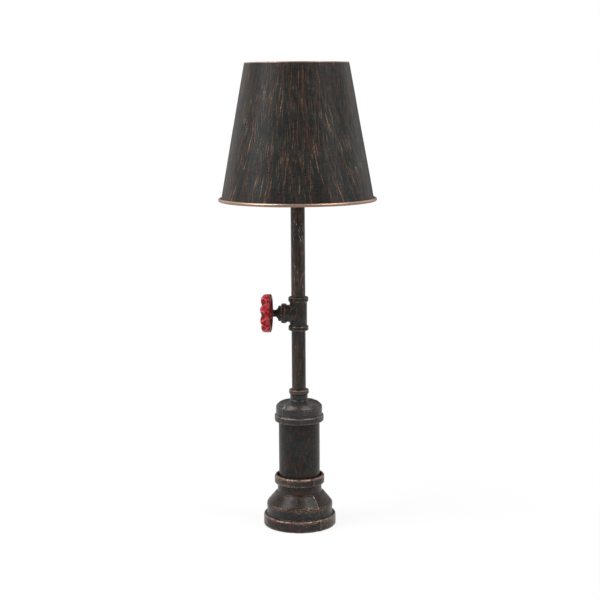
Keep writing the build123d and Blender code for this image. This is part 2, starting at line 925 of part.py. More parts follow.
def bulb_insulator():
    return turned(
        (bulb_tip_r, bulb_insulator_z),
        (bulb_insulator_r, bulb_insulator_z, 0.5),
        (bulb_cap_mouth_r, bulb_cap_z),
        (bulb_cap_mouth_r - thread_gap, bulb_cap_z + bulb_cap_wall),
        (bulb_tip_r, bulb_cap_z + bulb_cap_wall),
    )


def bulb_tip():
    side_r = bulb_tip_r - thread_gap
    return turned(
        (0, bulb_z),
        (bulb_tip_r / 2, bulb_z),
        (side_r, bulb_insulator_z),
        (side_r, bulb_cap_z),
        (0, bulb_cap_z),
    )


def bulb_stem():
    """Glass stem that closes the bulb's neck, with its upright filaments."""
    inner_r = bulb_neck_r - glass_wall - thread_gap
    stem_top = bulb_glass_z + stem_height
    stem = turned(
        (0, bulb_glass_z),
        (inner_r, bulb_glass_z),
        (inner_r, bulb_glass_z + glass_wall),
        (stem_r, bulb_glass_z + bulb_neck_length, 2.0),
        (stem_r / 2, stem_top, 1.0),
        (0, stem_top),
    )
    crown = rod(stem_r, stem_top - 3 * filament_r, stem_top - filament_r)
    foot_z = stem_top - 2 * filament_r
    filament = Pos(stem_r - 1.5 * filament_r) * rod(filament_r, foot_z, foot_z + filament_length)
    ring = [Rot(0, 0, turn * 360 / filament_count) * filament for turn in range(filament_count)]
    return stem + crown + ring


# ---- Shade, its rings and spider ----------------------------------------------------------
shade_taper = (shade_bottom_r - shade_top_r) / shade_height


def shade_outer(height):
    """Outer radius of the shade's cone at a height."""
    return shade_bottom_r - (height - bead_z) * shade_taper


def shade():
    bead_centre_r = shade_bottom_r - shade_thickness + bead_r
    sheet = Polyline(
        (shade_bottom_r - shade_thickness, bead_z),
        (shade_bottom_r, bead_z),
        (shade_top_r, shade_top),
        (shade_top_r - shade_thickness, shade_top),
        close=True,
    )
    section = make_face(sheet) + Pos(bead_centre_r, bead_z) * Circle(bead_r)
    return revolve(Plane.XZ * section, Axis.Z)


def shade_ring(low):
    """Threaded ring with grip notches that clamps the spider on the lampholder."""
    ring = turned(
        (holder_r + thread_gap, low),
        (ring_r, low, 1.0),
        (ring_r, low + ring_height, 1.0),
        (holder_r + thread_gap, low + ring_height),
    )
    notch = Pos(ring_r) * rod(ring_height / 5, low, low + ring_height)
    ring -= [Rot(0, 0, turn * 360 / ring_grips) * notch for turn in range(ring_grips)]
    return ring


def shade_spider():
    spider_top = spider_z + spider_thickness
    hub = tube(spider_ring_r, holder_r + thread_gap, spider_z, spider_top)
    wall_gap = shade_thickness + weld_gap
    tab_low = spider_z
    tab_high = spider_z + spider_tab_height
    tab_band = turned(
        (shade_outer(tab_low) - wall_gap - spider_tab_thickness, tab_low),
        (shade_outer(tab_low) - wall_gap, tab_low),
        (shade_outer(tab_high) - wall_gap, tab_high),
        (shade_outer(tab_high) - wall_gap - spider_tab_thickness, tab_high),
    )
    tab_cut = Pos(shade_bottom_r / 2 + ring_r, 0, tab_low) * Box(
        shade_bottom_r, arm_width, spider_tab_height * 2
    )
    reach = shade_outer(spider_top) - wall_gap - spider_tab_thickness / 2
    arm_start = spider_ring_r - arm_width / 2
    arm = Pos((reach + arm_start) / 2, 0, spider_z + spider_thickness / 2) * Box(
        reach - arm_start, arm_width, spider_thickness
    )
    limb = arm + (tab_band & tab_cut)
    return hub + [Rot(0, 0, 90 + turn * 360 / spider_arms) * limb for turn in range(spider_arms)]


def shade_ring_lower():
    return shade_ring(spider_z - ring_height)


def shade_ring_upper():
    return shade_ring(spider_z + spider_thickness)


# ---- Write one file for each node -----------------------------------------------------------
nodes = [
    base_reducer,
    base_plate,
    plate_screws,
    base_weight,
    weight_screw,
    felt_pad,
    cord_gland,
    gland_nut,
    terminal_block,
    terminal_screws,
    block_screw,
    earth_tag,
    earth_screw,
    neutral_wire,
    supply_wire,
    switched_wire,
    earth_wire,
    column_pipe,
    bell_reducer,
    lower_riser,
    tee,
    upper_riser,
    switch_plug,
    switch_body,
    switch_terminals,
    switch_nut,
    switch_shaft,
    handwheel,
    wheel_washer,
    wheel_screw,
    riser_cap,
    nipple,
    nipple_nut,
    lampholder_cap,
    lampholder_body,
    lampholder_insert,
    centre_contact,
    thread_shell,
    bulb_glass,
    bulb_cap,
    bulb_insulator,
    bulb_tip,
    bulb_stem,
    shade,
    shade_ring_lower,
    shade_ring_upper,
    shade_spider,
]
for node in nodes:
    export_step(node(), f"parts/{node.__name__}.step")
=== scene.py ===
# %% [markdown]
# # A table lamp made of iron pipe
# The lamp stands on a reducing coupling turned wide end down. A two inch pipe stands in
# its mouth, a bell reducer closes that pipe, and half inch pipe with a tee climbs from
# there to the lampholder and a sheet metal shade. A red handwheel on the tee's branch
# turns a dimmer. All the iron is blackened, with copper brown rubbed through.
#
# The construction comes from the frame, which holds each part at its real size. This
# script gives those parts their surfaces. Where bare geometry would look too clean,
# it builds a richer mesh in the same place and lets that mesh stand for the part.

# %% Load the frame
import json
from math import cos, pi, radians, sin, tau

import bmesh
import bpy
import numpy as np
from mathutils import Matrix, Vector, noise


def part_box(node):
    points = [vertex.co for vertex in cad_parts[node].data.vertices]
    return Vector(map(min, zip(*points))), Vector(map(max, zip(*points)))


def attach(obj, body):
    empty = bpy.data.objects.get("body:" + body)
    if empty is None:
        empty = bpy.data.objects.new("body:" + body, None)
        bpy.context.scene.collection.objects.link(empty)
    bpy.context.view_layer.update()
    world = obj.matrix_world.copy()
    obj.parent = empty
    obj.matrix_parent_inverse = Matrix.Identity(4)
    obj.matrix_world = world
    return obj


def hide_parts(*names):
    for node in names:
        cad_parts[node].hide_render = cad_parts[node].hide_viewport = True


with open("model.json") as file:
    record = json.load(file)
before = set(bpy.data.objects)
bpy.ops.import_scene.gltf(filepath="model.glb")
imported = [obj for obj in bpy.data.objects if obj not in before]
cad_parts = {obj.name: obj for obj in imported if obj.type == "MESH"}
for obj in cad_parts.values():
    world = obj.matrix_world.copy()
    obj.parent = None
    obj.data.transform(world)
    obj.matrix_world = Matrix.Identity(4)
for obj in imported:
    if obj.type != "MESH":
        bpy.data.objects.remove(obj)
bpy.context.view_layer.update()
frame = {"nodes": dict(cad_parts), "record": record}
nodes = frame["nodes"]
mm = 0.001
print("parts in the frame:", len(nodes))

# %% [markdown]
# ## The camera
# A product picture is taken from far away with a long lens, so that a tall thin lamp
# keeps its proportions. The camera stands two metres off, a little below the top of
# the shade, and looks slightly down. It is turned a few degrees round the lamp, so
# that the back of the handwheel shows.

# %% Camera
frame_px = 600
focal_px = 1340.5
sensor_width = 36.0
camera_distance = 2.003
camera_height = 0.661
camera_azimuth = radians(4.5)
camera_pitch = radians(8.85)
camera_roll = radians(-0.40)
camera_pan = radians(-0.073)

lens = bpy.data.cameras.new("camera")
lens.sensor_width = sensor_width
lens.lens = focal_px * sensor_width / frame_px
camera = bpy.data.objects.new("camera", lens)
bpy.context.scene.collection.objects.link(camera)
heading = Matrix.Rotation(camera_azimuth + camera_pan, 4, "Z")
tilt = Matrix.Rotation(pi / 2 - camera_pitch, 4, "X")
roll = Matrix.Rotation(camera_roll, 4, "Z")
stand_point = Vector((sin(camera_azimuth), -cos(camera_azimuth), 0)) * camera_distance
stand_point.z = camera_height
camera.matrix_world = Matrix.Translation(stand_point) @ heading @ tilt @ roll
bpy.context.scene.camera = camera
print("lens in millimetres:", round(lens.lens, 1))

# %% [markdown]
# ## Shader maths as Python expressions
# A material is a graph of nodes, and wiring one by hand hides what it works out. Here
# a small class wraps a node's output, so that `1 - mask * 0.5` reads like arithmetic
# and adds the Math nodes by itself. Each sign has a second form for a number that
# stands first.


# %% Signals
class Signal:
    """One output of a node. Arithmetic on it adds Math nodes to its tree."""

    def __init__(self, graph, socket):
        self.graph = graph
        self.socket = socket

    def __add__(self, other):
        return self.graph.math("ADD", self, other)

    def __mul__(self, other):
        return self.graph.math("MULTIPLY", self, other)

    def __sub__(self, other):
        return self.graph.math("SUBTRACT", self, other)

    def __rsub__(self, other):
        return self.graph.math("SUBTRACT", other, self)

    __radd__ = __add__
    __rmul__ = __mul__


print("signs that a signal knows: + - *")

# %% [markdown]
# The tree adds the nodes. A Math node would turn a colour grey, so colours are blended
# with Mix nodes and places are scaled with Vector Math nodes. Everything else comes
# from one method that takes a node's type, its settings and its sockets. A soft
# threshold is needed so often that it has a short name, band.


# %% Node trees
class Graph:
    """A node tree that is built from the first texture to the surface."""

    def __init__(self, tree):
        self.tree = tree
        self.tree.nodes.clear()

    def node(self, kind, settings, sockets, output=0):
        made = self.tree.nodes.new(kind)
        for name, value in settings.items():
            setattr(made, name, value)
        for name, value in sockets.items():
            if isinstance(value, Signal):
                self.tree.links.new(value.socket, made.inputs[name])
            else:
                made.inputs[name].default_value = value
        return Signal(self, made.outputs[output]) if made.outputs else None

    def math(self, operation, first, second):
        return self.node("ShaderNodeMath", {"operation": operation}, {0: first, 1: second})

    def vector(self, operation, first, second):
        sockets = {0: first, 1: second}
        return self.node("ShaderNodeVectorMath", {"operation": operation}, sockets)

    def blend(self, factor, first, second):
        """Colour that goes from first to second as factor goes from 0 to 1."""
        sockets = {0: factor, 6: first, 7: second}
        return self.node("ShaderNodeMix", {"data_type": "RGBA"}, sockets, 2)

    def band(self, value, low, high):
        """0 below low, 1 above high, and a smooth step between them."""
        sockets = {"Value": value, "From Min": low, "From Max": high}
        settings = {"interpolation_type": "SMOOTHSTEP"}
        return self.node("ShaderNodeMapRange", settings, sockets)

    def noise(self, place, scale, detail=3.0, roughness=0.5):
        sockets = {"Vector": place, "Scale": scale, "Detail": detail, "Roughness": roughness}
        return self.node("ShaderNodeTexNoise", {}, sockets)

    def part(self, vector, axis):
        """One number of a vector: its X, Y or Z."""
        return self.node("ShaderNodeSeparateXYZ", {}, {0: vector}, axis)

    def clamped(self, value):
        """The value, held between 0 and 1."""
        return self.node("ShaderNodeClamp", {}, {"Value": value})

    def place(self):
        """The surface point in the part's own frame, in metres."""
        return self.node("ShaderNodeTexCoord", {}, {}, "Object")

    def facing(self):
        """The way that the surface faces, in the part's own frame."""
        return self.node("ShaderNodeTexCoord", {}, {}, "Normal")


def rgb(red, green, blue):
    return (red, green, blue, 1.0)


print("shader helpers:", ", ".join(name for name in vars(Graph) if not name.startswith("_")))


# %% A finish
finishes = {}


class Finish(Graph):
    """A named material whose graph ends in one Principled surface."""

    def __init__(self, name):
        self.material = bpy.data.materials.new(name)
        self.material.use_nodes = True
        super().__init__(self.material.node_tree)
        finishes[name] = self.material

    def surface(self, color, roughness, metallic, relief, relief_depth, **constants):
        """Ends the graph. The relief is a height from 0 to 1 over relief_depth metres."""
        bumps = {"Strength": 1.0, "Distance": relief_depth, "Height": relief}
        bump = self.node("ShaderNodeBump", {}, bumps)
        sockets = {"Base Color": color, "Roughness": roughness, "Metallic": metallic}
        sockets["Normal"] = bump
        sockets.update({name.replace("_", " "): value for name, value in constants.items()})
        shader = self.node("ShaderNodeBsdfPrincipled", {}, sockets)
        self.node("ShaderNodeOutputMaterial", {}, {"Surface": shader})
        print(self.material.name, "has", len(self.tree.nodes), "nodes")


print("finishes so far:", len(finishes))

# %% [markdown]
# ## Blackened iron with copper rubbed through
# The maker sprays the iron black, then drags a nearly dry brush of copper brown paint
# over it. Up close that leaves four layers: a mottled ground, soft brown bands where
# the brush was fullest, fine broken hairs where it ran out, and speckles and bright
# lines on whatever stands proud. An image of all this would stretch and repeat, so
# each layer is a noise instead, and they share one finish because the lamp has one.
#
# A stroke is a noise that is stretched along the brush. It is read on a cylinder round
# the stem's axis, which keeps the strokes fine all the way down a cone. Turning that
# cylinder as it climbs slants them, and turning it more towards the sides fans them.


# %% A brushed surface
class Brushed(Finish):
    """A finish on a round piece of about one radius, brushed up, down or around."""

    def __init__(self, name, radius, middle):
        super().__init__(name)
        self.radius = radius
        self.point = self.place()
        self.height = self.part(self.point, "Z") - middle
        flat = self.vector("MULTIPLY", self.point, (1.0, 1.0, 0.0))
        self.outward = self.node("ShaderNodeVectorMath", {"operation": "NORMALIZE"}, {0: flat})
        self.sideways = self.part(self.outward, "X")

    def strokes(self, width, length, slant=0.0, fan=0.0, detail=2.0):
        """Noise in strokes, width round the piece and length up it. slant is a slope."""
        slope = self.sideways * (fan / self.radius) + slant / self.radius
        turning = {"Vector": self.outward, "Angle": self.height * slope}
        twisted = self.node("ShaderNodeVectorRotate", {"rotation_type": "Z_AXIS"}, turning)
        scale = self.radius / width
        across = self.vector("MULTIPLY", twisted, (scale, scale, 0.0))
        along = self.vector("MULTIPLY", self.point, (0.0, 0.0, 1.0 / length))
        return self.noise(self.vector("ADD", across, along), 1.0, detail, 0.55)

    def mark(self, name):
        """A value that a mesh stores at its points, 0 where it stores none."""
        return self.node("ShaderNodeAttribute", {"attribute_name": name}, {}, "Fac")


print("mesh marks that a finish can read: edge, proud, hollow, bead")

# %% [markdown]
# The paints are given as linear light, where 1 is white. Black paint beside white paper
# is far darker than it looks, so its numbers are close to nothing. The coppers are
# uneven mixes: dull brown in the soft bands, brighter in the hairs, and palest where
# the metal itself shows. On the shade's bead the palest copper is also a painted
# highlight, strongest on its upper half.

# %% Paints
black_paint = rgb(0.0085, 0.0080, 0.0080)
grey_paint = rgb(0.020, 0.021, 0.020)
green_black = rgb(0.014, 0.021, 0.020)
red_brown = rgb(0.046, 0.017, 0.012)
brown_band = rgb(0.062, 0.031, 0.020)
copper_hair = rgb(0.31, 0.16, 0.090)
pale_copper = rgb(0.56, 0.37, 0.28)
# The next colour, for rubbed edges, also serves as their painted highlight.
edge_wear_and_highlight = rgb(0.31, 0.185, 0.158)
gold_fleck = rgb(0.36, 0.21, 0.13)
print("black paint:", black_paint[:3], "palest copper:", pale_copper[:3])

# %% [markdown]
# The ground comes first, because every other layer lies on it. Three noises of
# different size do the mixing: a fine grain, clouds about a finger wide, and patches
# three times as wide as those. The later layers read the same three, so the grain that
# breaks a hair also lightens the ground there. That makes the layers look like one
# surface.

# %% Noises and the ground
grains_per_metre = 520.0
clouds_per_metre = 75.0
patches_per_metre = 27.0
pits_per_metre = 260.0


class Iron(Brushed):
    """A brushed surface with the noises that all its layers of paint share."""

    def __init__(self, name, radius, middle):
        super().__init__(name, radius, middle)
        self.grain = self.noise(self.point, grains_per_metre, 4.0, 0.65)
        self.clouds = self.noise(self.point, clouds_per_metre, 5.0, 0.65)
        self.patches = self.noise(self.point, patches_per_metre, 2.0)
        self.upness = self.part(self.facing(), "Z")


def ground(made, mottle, green, red):
    """Black paint with grey, green black and red brown clouded through it."""
    dashes = made.strokes(9 * mm, 1.6 * mm)
    mottled = made.band(made.grain * 0.6 + dashes * 0.4, 0.35, 0.65) * mottle
    greenish = made.band(made.patches * 0.6 + dashes * 0.4, 0.44, 0.60) * green
    reddish = made.band(made.clouds * 0.7 + (1 - made.patches) * 0.3, 0.47, 0.66) * red
    color = made.blend(mottled, black_paint, grey_paint)
    color = made.blend(greenish, color, green_black)
    return made.blend(reddish, color, red_brown)


print("a cloud is about", round(1000 / clouds_per_metre), "mm wide")

# %% [markdown]
# A dry brush does three things. Where it is full it leaves a soft band, where it runs
# out its hairs draw fine lines, and where two strokes cross the lines cross as well. So
# hairs lie in two directions: the main one shows where the brush is loaded, and the
# other, fainter, where it isn't.

# %% Brushwork
band_length = 75 * mm
second_length = 1.4
second_slant = -0.4
second_fan = -0.3


def soft_bands(made, full_brush, amount):
    return made.band(full_brush * 0.6 + made.clouds * 0.4, 0.46, 0.64) * amount


def brush_hairs(made, full_brush, width, length, slant, fan, amount):
    """Broken hairs along the brush, and fainter ones across them."""
    hair = made.band(made.strokes(width, length, slant, fan), 0.57, 0.67)
    turned_back = (second_slant * slant, second_fan * fan)
    crossed = made.band(made.strokes(width, second_length * length, *turned_back), 0.58, 0.68)
    loaded = made.band(full_brush * 0.5 + made.patches * 0.5, 0.44, 0.62)
    broken = made.band(made.grain, 0.40, 0.58) * 0.7 + 0.3
    return (hair * loaded + crossed * (1 - loaded) * 0.5) * broken * amount


def bright_hairs(made, hair_mask, slant, fan):
    """The parts of the hairs where the paint lies thickest."""
    return made.band(hair_mask * made.strokes(4 * mm, 30 * mm, slant, fan), 0.36, 0.55)


def scratches_round(made, amount):
    """Thin lines round the piece, in patches."""
    lines = made.band(made.strokes(60 * mm, 0.9 * mm), 0.64, 0.70)
    return lines * made.band(made.patches, 0.5, 0.6) * amount


print("hairs of the second direction are", second_length, "times as long")

# %% [markdown]
# Wear follows the shape, so it reads what the meshes will store at their points. An
# edge is rubbed bare in broken lines, and where it slopes upward it is also painted
# brighter, as a painted highlight. The shade's bead is bare all round, painted paler on
# its upper half and darker below, as painted highlight and shade. Flecks of gold stay on
# whatever stands proud.

# %% Wear and painted highlights
def rubbed_and_highlit_edges(made, amount):
    # Edges that slope upward are painted brighter here, as painted highlights.
    sloping = made.band(made.upness, 0.20, 0.50) * (1 - made.band(made.upness, 0.80, 0.98) * 0.8)
    rubbed = made.strokes(7 * mm, 2.5 * mm, detail=3.0)
    worn = made.band(made.mark("edge") + (rubbed - 0.5) * 1.3, 0.34, 0.62)
    return made.clamped(worn * (sloping + 0.10) * amount)


def bare_bead_lit_above(made, amount):
    # The bead's upper half is painted paler and its lower half darker, as painted highlight and
    # shade.
    return made.mark("bead") * (made.band(made.upness, -0.4, 0.6) * 0.5 + 0.5) * amount


def gold_flecks(made, amount):
    proud = made.band(made.mark("proud") + (made.patches - 0.5) * 2.4, 0.35, 0.90)
    flecks = made.strokes(2.2 * mm, 1.0 * mm, detail=4.0)
    return made.band(flecks, 0.48, 0.68) * proud * amount


print("marks that wear reads: edge, bead, proud")

# %% [markdown]
# The finish itself is then short. Each layer is a mask, and each mask blends one paint
# over what lies below it, in the order in which a maker would lay them down. Copper
# also makes the surface smoother and a little metallic, so a hair doesn't only change
# colour but catches the light as well.


# %% Blackened iron
def blackened(
    name,
    radius,
    middle=0.0,
    bands=0.0,
    band_width=11 * mm,
    band_slant=0.0,
    hairs=0.0,
    hair_width=1.0 * mm,
    hair_length=22 * mm,
    slant=0.0,
    fan=0.0,
    mottle=1.0,
    green=0.5,
    red=0.5,
    flecks=0.0,
    scratches=0.0,
    wear=0.6,
    bare=0.0,
    roughness=0.38,
    gloss=0.22,
    pits=0.04 * mm,
):
    """One finish for a piece of that radius. Layers run from 0, none, to about 1, full.

    gloss is the strength of reflections, and pits is how deep the pitted skin goes.
    """
    # wear also sets the painted highlight on upward-sloping edges, and bare the painted highlight
    # and shade on the bead.
    made = Iron(name, radius, middle)
    full_brush = made.strokes(band_width, band_length, band_slant, fan)
    hair_mask = brush_hairs(made, full_brush, hair_width, hair_length, slant, fan, hairs)
    highlit_edge_mask = rubbed_and_highlit_edges(made, wear)
    bare_and_lit_bead_mask = bare_bead_lit_above(made, bare)
    fleck_mask = gold_flecks(made, flecks)

    color = ground(made, mottle, green, red)
    color = made.blend(soft_bands(made, full_brush, bands), color, brown_band)
    color = made.blend(hair_mask, color, copper_hair)
    color = made.blend(scratches_round(made, scratches), color, copper_hair)
    color = made.blend(fleck_mask, color, gold_fleck)
    # Rubbed edges, painted brighter where they slope up as painted highlights.
    color = made.blend(highlit_edge_mask, color, edge_wear_and_highlight)
    # The bare bead takes the palest copper, more on its upper half as a painted highlight.
    palest = made.clamped(bright_hairs(made, hair_mask, slant, fan) + bare_and_lit_bead_mask)
    color = made.blend(palest, color, pale_copper)

    copper = made.clamped(hair_mask * 0.6 + fleck_mask * 0.6 + highlit_edge_mask)
    rough = roughness + (made.grain - 0.5) * 0.30 - copper * 0.06 - bare_and_lit_bead_mask * 0.1
    pitting = made.noise(made.point, pits_per_metre, 6.0, 0.7)
    relief = made.grain * 0.40 + pitting * 0.5 + copper * 0.2
    metallic = made.clamped(copper * 0.4 + bare_and_lit_bead_mask)
    made.surface(color, rough, metallic, relief, pits, Specular_IOR_Level=gloss)


print("layers over the ground: bands, hairs, scratches, flecks, edges, bare metal")

# %% [markdown]
# A stroke's width is in metres, so the finish has to know how far it is round a piece.
# These radii come from the frame, and so does the shade's middle height.

# %% Radii of the pieces
shade_low, shade_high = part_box("shade")
shade_r = shade_high.x
shade_middle = (shade_low.z + shade_high.z) / 2
column_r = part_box("column_pipe")[1].x
riser_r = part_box("lower_riser")[1].x
foot_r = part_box("base_reducer")[1].x
for piece_name, piece_r in (("foot", foot_r), ("column", column_r), ("riser", riser_r)):
    print(piece_name, "radius:", round(piece_r / mm, 1), "mm")

# %% [markdown]
# Each kind of piece was brushed in its own way. The shade has long hairs that fan out
# with the cone. The pipes have slanting ones, most of all on the upper riser, whose
# finish is a lighter copy of the lower riser's: its extra hairs and bands are painted
# light, standing in for the light that falls on it. The castings have short dashes
# round them with gold flecks on top. So the finish is one function, called once for
# each kind. The turning that slants or fans its strokes is counted from the height
# called middle, in metres.

# %% The iron pieces' finishes
blackened(
    "bronzed_sheet", shade_r, shade_middle,
    bands=0.45, band_width=7 * mm, hairs=1.0, hair_width=1.15 * mm, hair_length=26 * mm,
    fan=0.42, green=0.9, red=0.12, scratches=0.1, wear=0.7, bare=0.8, roughness=0.44,
)
blackened(
    "bronzed_pipe", column_r, middle=0.13,
    bands=0.25, band_width=6 * mm, band_slant=-0.4, hairs=0.35, hair_width=1.2 * mm,
    slant=-0.5, mottle=0.35, green=0.7, red=0.45, flecks=0.1, gloss=0.18,
)
blackened(
    "riser_pipe", riser_r, middle=0.3,
    bands=0.6, band_width=2.6 * mm, hairs=1.0, hair_width=1.1 * mm,
    slant=0.35, green=0.9, red=0.2,
)
# The upper riser's lighter copy of the riser finish: painted light, with more and brighter bands
# and hairs.
blackened(
    "riser_painted_lit", riser_r, middle=0.4,
    bands=1.0, band_width=2.6 * mm, hairs=1.6, hair_width=1.1 * mm,
    slant=0.35, green=0.6, red=0.2, gloss=0.32,
)
blackened(
    "bronzed_casting", foot_r,
    bands=0.12, hairs=0.5, hair_width=6 * mm, hair_length=1.4 * mm,
    green=0.9, red=0.9, flecks=1.0, wear=0.75, roughness=0.30, pits=0.34 * mm,
)
blackened(
    "bronzed_bell", column_r,
    hairs=0.4, hair_width=6 * mm, hair_length=1.4 * mm, mottle=0.3,
    green=0.6, red=0.4, flecks=0.4, wear=0.7, roughness=0.36, gloss=0.42, pits=0.18 * mm,
)
blackened(
    "bronzed_fitting", riser_r,
    hairs=0.6, hair_width=1.2 * mm, hair_length=9 * mm, slant=0.7,
    green=0.7, flecks=0.6, wear=0.7, roughness=0.30, pits=0.22 * mm,
)
blackened("black_neck", riser_r, green=0.9, red=0.3, flecks=0.1, wear=0.2, roughness=0.34)
print("iron finishes:", len(finishes))

# %% [markdown]
# ## The other finishes
# The handwheel is stove enamelled red over a rough casting. The enamel is glossy and
# runs thin on sharp ridges, which are painted pale pink, partly as the thin enamel and
# partly as painted highlights. Dark patina stays in the flutes, and the side that faces
# the tee is painted dark as painted shade. The small inner parts are plain metals,
# plastics, ceramic, felt and glass. Each gets a grain of its own, because a part that
# has one flat colour looks unmade.


# %% Red enamel
deep_red = rgb(0.21, 0.004, 0.010)
bright_red = rgb(0.46, 0.040, 0.050)
# The next colour is the thin enamel on ridges and also their painted highlight.
thin_red_and_glint = rgb(0.78, 0.34, 0.31)
# The next colour is the patina in the flutes and also the painted shade on the side that faces
# the tee.
dark_patina_and_shade = rgb(0.035, 0.022, 0.012)


def red_enamel():
    made = Brushed("red_enamel", riser_r, 0.0)
    clouds = made.noise(made.point, 190.0, 4.0, 0.6)
    orange_peel = made.noise(made.point, 800.0, 2.0)
    tee_side = made.part(made.facing(), "X")
    # The side that faces the tee, +X, is painted dark here as painted shade.
    painted_back_shade = made.band(tee_side + (clouds - 0.5) * 0.4, 0.05, 0.55)
    # Sharp ridges are painted pale, partly as thin enamel and partly as painted highlights.
    sharp = made.band(made.mark("edge") + (clouds - 0.5) * 1.1, 0.15, 0.62)
    sunken = made.band(made.mark("hollow") + (clouds - 0.5) * 0.9, 0.20, 0.65)
    patina_and_back_shade = made.clamped(sunken + painted_back_shade * 0.7)
    enamel = made.blend(made.band(clouds, 0.35, 0.65), deep_red, bright_red)
    color = made.blend(sharp * (1 - painted_back_shade) * 0.7, enamel, thin_red_and_glint)
    color = made.blend(patina_and_back_shade * 0.85, color, dark_patina_and_shade)
    roughness = 0.26 + patina_and_back_shade * 0.12 + (clouds - 0.5) * 0.15
    relief = orange_peel * 0.3 + clouds * 0.7
    made.surface(color, roughness, 0.0, relief, 0.20 * mm, Specular_IOR_Level=0.06)


red_enamel()


# %% Plain metals, plastics and the rest
smudge_share = 0.06


def grained(
    name, dark, light, roughness, metallic=0.0, grains=900.0, relief_depth=0.01 * mm, **constants
):
    """A finish of two close tones, with so many grains in a metre."""
    made = Finish(name)
    grain = made.noise(made.place(), grains, 5.0, 0.6)
    smudge = made.noise(made.place(), grains * smudge_share, 3.0)
    color = made.blend(grain * 0.6 + smudge * 0.4, rgb(*dark), rgb(*light))
    rough = roughness + (smudge - 0.5) * 0.2
    made.surface(color, rough, metallic, grain, relief_depth, **constants)


grained("plain_steel", (0.38, 0.38, 0.39), (0.56, 0.56, 0.57), roughness=0.34, metallic=1.0)
grained(
    "raw_iron", (0.10, 0.10, 0.10), (0.20, 0.19, 0.18),
    roughness=0.55, metallic=0.7, grains=500.0, relief_depth=0.05 * mm,
)
grained("brass", (0.62, 0.42, 0.16), (0.78, 0.56, 0.26), roughness=0.30, metallic=1.0)
grained("nickel", (0.52, 0.50, 0.47), (0.68, 0.66, 0.62), roughness=0.24, metallic=1.0)
grained(
    "black_plastic", (0.010, 0.010, 0.011), (0.028, 0.027, 0.027),
    roughness=0.38, grains=1400.0,
)
grained("white_plastic", (0.66, 0.65, 0.61), (0.76, 0.75, 0.72), roughness=0.45, grains=1200.0)
grained(
    "porcelain", (0.74, 0.72, 0.67), (0.82, 0.80, 0.76),
    roughness=0.18, grains=300.0, relief_depth=0.02 * mm,
)
grained(
    "felt", (0.010, 0.010, 0.011), (0.035, 0.034, 0.033),
    roughness=0.95, grains=1800.0, relief_depth=0.25 * mm, Sheen_Weight=0.4,
)
grained("blue_insulation", (0.03, 0.09, 0.30), (0.05, 0.13, 0.38), roughness=0.42)
grained("brown_insulation", (0.09, 0.035, 0.015), (0.14, 0.06, 0.03), roughness=0.42)
grained("green_insulation", (0.06, 0.24, 0.05), (0.12, 0.34, 0.07), roughness=0.42)
grained(
    "phosphor", (0.72, 0.50, 0.10), (0.86, 0.66, 0.20),
    roughness=0.50, grains=1500.0, relief_depth=0.02 * mm,
)
grained(
    "clear_glass", (0.97, 0.96, 0.93), (1.0, 0.99, 0.97),
    roughness=0.03, grains=40.0, relief_depth=0.004 * mm, Transmission_Weight=1.0, IOR=1.45,
)
print("finishes:", ", ".join(sorted(finishes)))


# %% [markdown]
# ## Give every part of the frame a finish
# The record names a material slot for each part, and the finishes above carry the same
# names. So one loop dresses the whole frame. A part that gets a richer mesh later is
# simply hidden then, and that mesh may wear a finish made for it alone.


# %% Dress the frame
def paint(piece, finish):
    """Gives a piece one finish all over."""
    piece.data.materials.clear()
    piece.data.materials.append(finishes[finish])


slot_of = {part["node"]: part["material_slot"] for part in frame["record"]["subparts"]}
for node_name, slot_name in slot_of.items():
    for material_slot in nodes[node_name].material_slots:
        material_slot.link = "OBJECT"
        material_slot.material = finishes[slot_name]
print("dressed parts:", len(slot_of))

# %% [markdown]
# ## Castings with a real skin
# The coupling, bell reducer, tee and handwheel are sand castings. Their edges are soft,
# their walls are never quite even, and the metal has a fine orange skin. A bump map
# can fake the skin but not the soft edges or the uneven outline. So each casting's
# part is copied, its mesh rebuilt from small even squares, smoothed as a casting is,
# and then pushed in and out by a seeded noise, coarse and fine.
#
# While the mesh is still clean, each point is compared with the average of its
# neighbourhood. Points that stand proud of it are edges, which wear bright and are also
# painted as highlights, and points that lie below it are hollows, where dark patina
# stays. Both go into the mesh as attributes.


# %% Copy a part as an even mesh
same_point = 0.001 * mm


def link(piece):
    """Puts an object in the scene and gives it back."""
    bpy.context.scene.collection.objects.link(piece)
    return piece


def even_copy(node_name, name, grain):
    """A new object with a part's shape, rebuilt from squares about one grain wide."""
    source = bmesh.new()
    source.from_mesh(nodes[node_name].data)
    bmesh.ops.remove_doubles(source, verts=source.verts, dist=same_point)
    mesh = bpy.data.meshes.new(name)
    source.to_mesh(mesh)
    source.free()
    draft = link(bpy.data.objects.new(name, mesh))
    remesh = draft.modifiers.new("even", "REMESH")
    remesh.mode = "VOXEL"
    remesh.voxel_size = grain
    bpy.context.view_layer.update()
    shaped = draft.evaluated_get(bpy.context.evaluated_depsgraph_get())
    draft.data = bpy.data.meshes.new_from_object(shaped)
    draft.modifiers.clear()
    draft.data.name = name
    print(node_name, "rebuilt as", len(draft.data.vertices), "points")
    return draft


print("points nearer than", same_point / mm, "mm are joined")


# %% Move points with numpy
def points_of(mesh):
    flat = np.empty(len(mesh.vertices) * 3)
    mesh.vertices.foreach_get("co", flat)
    return flat.reshape(-1, 3)


def set_points(mesh, points):
    mesh.vertices.foreach_set("co", points.ravel())
    mesh.update()


def normals_of(mesh):
    flat = np.empty(len(mesh.vertices) * 3)
    mesh.vertices.foreach_get("normal", flat)
    return flat.reshape(-1, 3)


